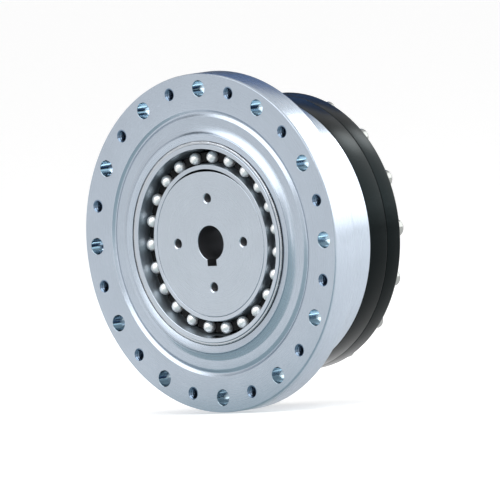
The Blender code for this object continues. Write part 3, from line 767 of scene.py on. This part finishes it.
inner_land = BALL_CIRCLE_RADIUS - TRACK_CURVE + LAND_RISE
outer_land = BALL_CIRCLE_RADIUS + TRACK_CURVE - LAND_RISE
inner_race_corners = [
    (INNER_RACE_BORE, 0.0, FINE_EDGE),
    (inner_land - INNER_RELIEF, 0.0, FINE_EDGE),
    *ball_track(-1),
    (inner_land, RACE_REAR_DEPTH, PLAIN_EDGE),
    (INNER_RACE_BORE, RACE_REAR_DEPTH, FINE_EDGE),
]
outer_race_corners = [
    (outer_land + OUTER_RELIEF, RACE_FRONT_DEPTH, FINE_EDGE),
    *ball_track(1),
    (outer_land, RACE_REAR_DEPTH, PLAIN_EDGE),
    (OUTER_RACE_RADIUS, RACE_REAR_DEPTH, PLAIN_EDGE),
    (OUTER_RACE_RADIUS, RACE_FRONT_DEPTH, FINE_EDGE),
]
race_steel = metal("ground bearing steel", RACE_STEEL, roughness=0.16, bump=0.03)
track_steel = metal("oiled track steel", TRACK_STEEL, roughness=0.42, bump=0.03)
for name, corners, body, node in (
    ("inner_race_ground", inner_race_corners, "wave_generator", "wave_bearing_inner_race"),
    ("outer_race_ground", outer_race_corners, "output", "wave_bearing_outer_race"),
):
    race = add(name, turned(name, corners, WAVE), race_steel)
    race.data.materials.append(track_steel)
    track_index = race.data.materials.find(track_steel.name)
    for face in race.data.polygons:
        reach = math.hypot(face.center.x, face.center.z)
        near_balls = abs(reach - BALL_CIRCLE_RADIUS) < TRACK_CURVE + 2 * WAVE
        if near_balls and abs(face.normal.y) < END_FACE_NORMAL:
            face.material_index = track_index
    finished(race, body, "bearing_steel", node)

# Balls: hardened and lapped chrome steel with a satin shine under a film of oil, evenly spaced
# by the cage.
BALLS = 23
FIRST_BALL_TURN = math.radians(-12)
BALL_STEEL = (0.82, 0.83, 0.83)

ball_shape = bmesh.new()
bmesh.ops.create_uvsphere(ball_shape, u_segments=40, v_segments=24, radius=BALL_RADIUS)
ball_steel = metal(
    "lapped ball steel",
    BALL_STEEL,
    roughness=0.3,
    metallic=0.7,
    bump=0.01,
    shade=0.03,
)
balls = repeated(
    "bearing_balls",
    meshed("bearing_balls", ball_shape),
    ball_steel,
    BALLS,
    BALL_CIRCLE_RADIUS,
    BALL_DEPTH,
    FIRST_BALL_TURN,
)
ball_nodes = [f"wave_bearing_ball_{number + 1:02d}" for number in range(BALLS)]
finished(balls, "ball_set", "polished_ball_steel", *ball_nodes)

# Cage: a crown moulded in black nylon. It stands behind the balls, reaches between them with its
# prongs, and has an open pocket for each. Its near-black colour is partly painted shade, the
# shade that falls between the balls.
CAGE_INNER_RADIUS = 0.0328
CAGE_OUTER_RADIUS = 0.0364
CAGE_REAR_DEPTH = 0.00665
POCKET_RADIUS = 0.0029
PRONG_LEAD = 0.0005
POCKET_STEPS = 10
# Near-black: the nylon's own colour, and painted shade between the balls.
NYLON_AND_SHADE_BLACK = (0.003, 0.003, 0.0035)


def moulded(name, colour, roughness, grain, bump, darker=0.8, lighter=1.3, shine=0.15):
    """A moulded polymer with a fine grain in its relief and its colour."""
    look, tree, shader = blank_finish(name)
    place, noise = tree.nodes.new("ShaderNodeTexCoord"), tree.nodes.new("ShaderNodeTexNoise")
    tree.links.new(place.outputs["Object"], noise.inputs["Vector"])
    noise.inputs["Scale"].default_value = 1 / grain
    noise.inputs["Detail"].default_value = 3.0
    dark = [part * darker for part in colour]
    light = [part * lighter for part in colour]
    tint = colour_between(tree, noise.outputs[0], dark, light)
    tree.links.new(tint, shader.inputs["Base Color"])
    normal = relief(tree, noise.outputs[0], bump, grain)
    tree.links.new(normal, shader.inputs["Normal"])
    shader.inputs["Roughness"].default_value = roughness
    shader.inputs["Specular IOR Level"].default_value = shine
    return look


stations = []
for number in range(BALLS):
    ball_turn = FIRST_BALL_TURN + number * math.tau / BALLS
    for step in range(POCKET_STEPS + 1):
        share = math.sin((step / POCKET_STEPS - 0.5) * math.pi)
        turn = ball_turn + share * POCKET_RADIUS / BALL_CIRCLE_RADIUS
        dip = POCKET_RADIUS * math.sqrt(max(0.0, 1 - share * share))
        stations.append((turn, BALL_DEPTH + PRONG_LEAD + dip))
cage_rings = []
for radius in (CAGE_INNER_RADIUS, CAGE_OUTER_RADIUS):
    cage_rings.append([around(radius, turn, depth) for turn, depth in stations])
for radius in (CAGE_OUTER_RADIUS, CAGE_INNER_RADIUS):
    cage_rings.append([around(radius, turn, CAGE_REAR_DEPTH) for turn, _ in stations])
# The cage's colour is partly black nylon and partly painted shade between the balls.
cage_nylon_and_shade = moulded("black nylon and painted shade", NYLON_AND_SHADE_BLACK, roughness=0.5, grain=0.0004, bump=0.15)
cage = add("crown_cage", skin("crown_cage", cage_rings), cage_nylon_and_shade)
finished(cage, "ball_set", "black_cage_nylon", "wave_bearing_cage")

# Flexspline: a thin cup of tough alloy steel with external teeth round its open front. Its rim is
# bent to the disc's oval, and a ring and six bolts clamp its thick hub to the output.
FLEX_FRONT_DEPTH = -0.0017
FLEX_BORE_RADIUS = 0.04
FLEX_CHAMFER = 0.00015
FLEX_BARREL_WALL = 0.0006
FLEX_CORNER_RADIUS = 0.0025
FLEX_CORNER_STEPS = 6
FLEX_END_DEPTH = 0.038
FLEX_END_WALL = 0.0008
WAVE_FADE = 1.9
HUB_RADIUS = 0.023
HUB_BORE_RADIUS = 0.0115
HUB_REAR_DEPTH = 0.04
HUB_FRONT_DEPTH = 0.036
HUB_BOLTS = 6
HUB_BOLT_CIRCLE_RADIUS = 0.017
HUB_BOLT_HOLE_RADIUS = 0.0027
FLEX_STEEL = (0.47, 0.5, 0.54)
BOLT_BLACK = (0.03, 0.032, 0.036)


def coated(node, look):
    """Give the CAD's own mesh of this node a finish."""
    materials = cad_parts[node].data.materials
    materials.clear()
    materials.append(look)


flex_tip = MODULE * (FLEX_TEETH / 2 + TOOTH_TIP_SHARE)
flex_root = MODULE * (FLEX_TEETH / 2 - TOOTH_ROOT_SHARE)
barrel_radius = FLEX_BORE_RADIUS + FLEX_BARREL_WALL
end_inside_depth = FLEX_END_DEPTH - FLEX_END_WALL
barrel_corners = [
    (barrel_radius, FLEX_END_DEPTH, FLEX_CORNER_RADIUS),
    (HUB_RADIUS, FLEX_END_DEPTH, SOFT_EDGE),
    (HUB_RADIUS, HUB_REAR_DEPTH, FINE_EDGE),
    (HUB_BORE_RADIUS, HUB_REAR_DEPTH, FINE_EDGE),
    (HUB_BORE_RADIUS, HUB_FRONT_DEPTH, FINE_EDGE),
    (HUB_RADIUS, HUB_FRONT_DEPTH, FINE_EDGE),
    (HUB_RADIUS, end_inside_depth, SOFT_EDGE),
    (FLEX_BORE_RADIUS, end_inside_depth, FLEX_CORNER_RADIUS - FLEX_END_WALL),
    (FLEX_BORE_RADIUS, TOOTH_END_DEPTH, SHARP),
    (FLEX_BORE_RADIUS, FLEX_FRONT_DEPTH, HAIR_EDGE),
    (flex_root - FLEX_CHAMFER, FLEX_FRONT_DEPTH, SHARP),
    (barrel_radius, TOOTH_END_DEPTH, SHARP),
]
flex_rings = []
for radius, depth in rounded(barrel_corners, FLEX_CORNER_STEPS):
    share = (FLEX_END_DEPTH - FLEX_CORNER_RADIUS - depth) / FLEX_END_DEPTH * WAVE_FADE
    flex_rings.append(circle(radius, depth, WAVE * max(0.0, min(1.0, share))))
barrel_start = flex_rings.pop()
for depth in (FLEX_FRONT_DEPTH + FLEX_CHAMFER, TOOTH_END_DEPTH):
    flex_rings.append(toothed(flex_tip, flex_root, FLEX_TEETH, depth, WAVE))
flex_rings.append(barrel_start)
flex_steel = metal("flexspline steel", FLEX_STEEL, roughness=0.24)
bolt_black = metal("black bolt steel", BOLT_BLACK, roughness=0.3, metallic=0.85, shade=0.2)
flexspline = add("flexspline_cup", skin("flexspline_cup", flex_rings), flex_steel)
hub_hole = plain_hole(
    HUB_BOLT_HOLE_RADIUS,
    HUB_FRONT_DEPTH - OVERRUN,
    HUB_REAR_DEPTH + OVERRUN,
    open_front=False,
    open_rear=False,
)
cut(flexspline, drilled_steel, drills("hub_holes", hub_hole, HUB_BOLT_CIRCLE_RADIUS, HUB_BOLTS))
finished(flexspline, "output", "flexspline_steel", "flexspline")
coated("flexspline_clamp_ring", flex_steel)
for number in range(HUB_BOLTS):
    coated(f"flexspline_bolt_{number + 1}", bolt_black)

# Output flange: hardened steel, the inner ring of the roller bearing, with a pilot recess and a
# circle of tapped holes for the driven part. The rollers run between it and the black rings.
OUTPUT_RADIUS = 0.0447
OUTPUT_FRONT_DEPTH = 0.0403
OUTPUT_FRONT_EDGE = 0.0005
OUTPUT_REAR_DEPTH = 0.057
OUTPUT_TRACK_RADIUS = 0.04196
PILOT_RADIUS = 0.016
PILOT_DEPTH = 0.003
OUTPUT_HOLES = 12
OUTPUT_HOLE_CIRCLE_RADIUS = 0.034
OUTPUT_THREAD_RADIUS = 0.0025
OUTPUT_THREAD_DEPTH = 0.00045
OUTPUT_THREAD_PITCH = 0.0008
OUTPUT_HOLE_DEPTH = 0.01
BOLT_HOLE_END = 0.05
OUTPUT_STEEL = (0.52, 0.55, 0.59)

output_side = OUTPUT_RADIUS - OUTPUT_TRACK_RADIUS
output_corners = [
    (HUB_BORE_RADIUS, OUTPUT_FRONT_DEPTH, PLAIN_EDGE),
    (OUTPUT_RADIUS, OUTPUT_FRONT_DEPTH, OUTPUT_FRONT_EDGE),
    (OUTPUT_RADIUS, SEAM_DEPTH - output_side, FINE_EDGE),
    (OUTPUT_TRACK_RADIUS, SEAM_DEPTH, FINE_EDGE),
    (OUTPUT_RADIUS, SEAM_DEPTH + output_side, FINE_EDGE),
    (OUTPUT_RADIUS, OUTPUT_REAR_DEPTH, REAR_EDGE),
    (PILOT_RADIUS, OUTPUT_REAR_DEPTH, PLAIN_EDGE),
    (PILOT_RADIUS, OUTPUT_REAR_DEPTH - PILOT_DEPTH, FINE_EDGE),
    (HUB_BORE_RADIUS, OUTPUT_REAR_DEPTH - PILOT_DEPTH, PLAIN_EDGE),
]
output_steel = metal("hardened output steel", OUTPUT_STEEL, roughness=0.24)
output_mesh = turned("output_flange_turned", output_corners)
output_flange = add("output_flange_turned", output_mesh, output_steel)
output_hole = threaded_hole(
    OUTPUT_THREAD_RADIUS,
    OUTPUT_THREAD_DEPTH,
    OUTPUT_THREAD_PITCH,
    OUTPUT_REAR_DEPTH - OUTPUT_HOLE_DEPTH,
    OUTPUT_REAR_DEPTH,
    open_front=False,
)
bolt_hole = plain_hole(HUB_BOLT_HOLE_RADIUS, OUTPUT_FRONT_DEPTH, BOLT_HOLE_END, open_rear=False)
# Its tapped holes and bolt holes take the dark tapped wall: painted shade inside them.
cut(
    output_flange,
    tapped_shade,
    drills("output_holes", output_hole, OUTPUT_HOLE_CIRCLE_RADIUS, OUTPUT_HOLES),
    drills("inner_bolt_holes", bolt_hole, HUB_BOLT_CIRCLE_RADIUS, HUB_BOLTS),
)
finished(output_flange, "output", "bearing_steel", "output_flange")
coated("crossed_roller_set", ball_steel)

# Oil seal: a moulded nitrile rubber ring, pressed in the rear ring's recess. Its lip runs on the
# output flange. The CAD's own ring shows, with a rubber finish.
SEAL_BLACK = (0.02, 0.02, 0.021)

rubber = moulded("nitrile rubber", SEAL_BLACK, roughness=0.6, grain=0.0005, bump=0.2)
coated("output_oil_seal", rubber)

# Studio: a parallel camera as in the photograph, a pale floor and soft lamps. Cards and a large
# soft box stand out of sight for the metal to mirror.
VIEW_SIZE = 0.20127
VIEW_TURN = math.radians(43.26)
VIEW_RISE = math.radians(3.18)
VIEW_ROLL = math.radians(4.6)
VIEW_SHIFT = (0.01589, -0.00278)
VIEW_DISTANCE = 1.0
AMBIENT = 0.6
CARD_DISTANCE = 1.5
LAMP_DISTANCE = 1.2
FLOOR_REACH = 8.0
FLOOR_GAP = 0.0004
FLOOR_GLOW = 0.45
CARD_LIFT = 0.0001
WHITE = (1.0, 1.0, 1.0)
FLOOR_WHITE = (0.8, 0.8, 0.8)
SLATE = (0.03, 0.035, 0.045)
DARK_SLATE = (0.03, 0.035, 0.04)
SKY_BLUE = (0.08, 0.18, 0.42)
TEAL_GREY = (0.17, 0.21, 0.22)
PALE_GREY = (0.5, 0.56, 0.58)
SOFT_BOX_CORNERS = (
    (-0.48, -2.41, 0.31),
    (1.79, -0.39, 1.38),
    (0.27, 0.87, 2.3),
    (-1.1, -0.27, 1.7),
    (-1.13, -1.87, 0.69),
)
TEAL_CARD_CORNERS = ((-0.1, -0.015), (0.9, 0.2), (1.0, -1.2), (0.0, -0.7))
WHITE_CARD_CORNERS = ((-0.1, 0.015), (-0.1, 0.3), (-0.7, 0.5), (-0.7, 0.015))

toward = Vector(
    (
        math.sin(VIEW_TURN) * math.cos(VIEW_RISE),
        -math.cos(VIEW_TURN) * math.cos(VIEW_RISE),
        math.sin(VIEW_RISE),
    )
)
level_right = Vector((math.cos(VIEW_TURN), math.sin(VIEW_TURN), 0.0))
level_up = toward.cross(level_right)
right = level_right * math.cos(VIEW_ROLL) - level_up * math.sin(VIEW_ROLL)
up = level_up * math.cos(VIEW_ROLL) + level_right * math.sin(VIEW_ROLL)
place = right * VIEW_SHIFT[0] + up * VIEW_SHIFT[1] + toward * VIEW_DISTANCE
camera = add("camera", bpy.data.cameras.new("camera"))
camera.data.type = "ORTHO"
camera.data.ortho_scale = VIEW_SIZE
camera.data.clip_start = 0.01
camera.data.clip_end = 20.0
camera.matrix_world = Matrix.Translation(place) @ Matrix((right, up, toward)).transposed().to_4x4()
bpy.context.scene.camera = camera


def seen_white(tree):
    """1 for rays from the camera, from gloss and through glass, which should see the background."""
    path = tree.nodes.new("ShaderNodeLightPath")
    total = path.outputs["Is Camera Ray"]
    for name in ("Is Glossy Ray", "Is Transmission Ray"):
        most = tree.nodes.new("ShaderNodeMath")
        most.operation = "MAXIMUM"
        tree.links.new(total, most.inputs[0])
        tree.links.new(path.outputs[name], most.inputs[1])
        total = most.outputs[0]
    return total


world = bpy.data.worlds.new("studio")
world.use_nodes = True
bpy.context.scene.world = world
tree = world.node_tree
backdrop = tree.nodes["Background"]
backdrop.inputs["Color"].default_value = (*WHITE, 1.0)
strength = tree.nodes.new("ShaderNodeMapRange")
strength.inputs["To Min"].default_value = AMBIENT
strength.inputs["To Max"].default_value = 1.0
tree.links.new(seen_white(tree), strength.inputs["Value"])
tree.links.new(strength.outputs["Result"], backdrop.inputs["Strength"])


def flat(name, corners):
    """A flat mesh with these corners."""
    mesh = bpy.data.meshes.new(name)
    mesh.from_pydata(corners, [], [range(len(corners))])
    return mesh


def facing(direction, width, height):
    """Corners of an upright rectangle that faces the unit from that direction."""
    line = Vector(direction).normalized()
    turn = line.to_track_quat("Z", "Y")
    sides = ((-width, -height), (width, -height), (width, height), (-width, height))
    return [line * CARD_DISTANCE + turn @ Vector((x / 2, y / 2, 0.0)) for x, y in sides]


def level(corners, depth):
    """The corners (x, y) on a level plane."""
    return [(x, y, depth) for x, y in corners]


# Each card has its name, its corners, its colour and its glow. Only gloss sees them.
floor_depth = -FLANGE_RADIUS - FLOOR_GAP
card_depth = floor_depth + CARD_LIFT
for name, corners, colour, glow in (
    ("slate_card_behind", facing((-0.7, 0.71, 0.0), 0.8, 0.9), SLATE, 0.0),
    ("blue_card_behind", facing((-0.5, 0.73, 0.47), 0.7, 0.6), SKY_BLUE, 0.0),
    ("slate_card_above", facing((-0.68, -0.05, 0.73), 0.7, 0.6), DARK_SLATE, 0.0),
    ("soft_box_above", SOFT_BOX_CORNERS, WHITE, 2.2),
    ("teal_card_below", level(TEAL_CARD_CORNERS, card_depth), TEAL_GREY, 2.0),
    ("white_card_below", level(WHITE_CARD_CORNERS, card_depth), WHITE, 2.0),
    ("white_card_behind", facing((0.69, 0.72, 0.12), 0.9, 0.3), WHITE, 1.65),
    ("white_card_front", facing((0.22, -0.97, -0.01), 0.45, 0.3), WHITE, 1.5),
    ("grey_card_front", facing((0.72, -0.69, 0.13), 0.55, 0.5), PALE_GREY, 0.9),
):
    look, _, shader = blank_finish(name)
    shader.inputs["Base Color"].default_value = (*colour, 1.0)
    shader.inputs["Roughness"].default_value = 1.0
    shader.inputs["Emission Color"].default_value = (*colour, 1.0)
    shader.inputs["Emission Strength"].default_value = glow
    card = add(name, flat(name, corners), look)
    card.visible_camera = False
    card.visible_shadow = False
    card.visible_diffuse = False

# Each lamp has its name, its direction, its size, its power in watts, and whether gloss sees it.
for name, direction, size, power, mirrored in (
    ("lamp_above", (0.2, -0.52, 0.83), (0.8, 0.7), 4.0, False),
    ("soft_box_behind", (0.5, 0.727, 0.48), (1.2, 0.8), 6.6, True),
    ("key_behind", (0.18, 0.727, 0.66), (0.25, 0.25), 1.2, True),
):
    light = bpy.data.lights.new(name, "AREA")
    light.shape = "RECTANGLE"
    light.size, light.size_y = size
    light.energy = power
    line = Vector(direction).normalized()
    lamp = add(name, light)
    lamp.location = line * LAMP_DISTANCE
    lamp.rotation_euler = line.to_track_quat("Z", "Y").to_euler()
    lamp.visible_glossy = mirrored

floor_look, tree, shader = blank_finish("pale floor")
shader.inputs["Base Color"].default_value = (*FLOOR_WHITE, 1.0)
shader.inputs["Roughness"].default_value = 1.0
shader.inputs["Emission Color"].default_value = (*WHITE, 1.0)
glow = tree.nodes.new("ShaderNodeMapRange")
glow.inputs["To Max"].default_value = FLOOR_GLOW
tree.links.new(seen_white(tree), glow.inputs["Value"])
tree.links.new(glow.outputs["Result"], shader.inputs["Emission Strength"])
corner_signs = ((-1, -1), (1, -1), (1, 1), (-1, 1))
floor_corners = [(x * FLOOR_REACH, y * FLOOR_REACH) for x, y in corner_signs]
floor = add("floor", flat("floor", level(floor_corners, floor_depth)), floor_look)

bpy.context.scene.view_settings.view_transform = "Standard"
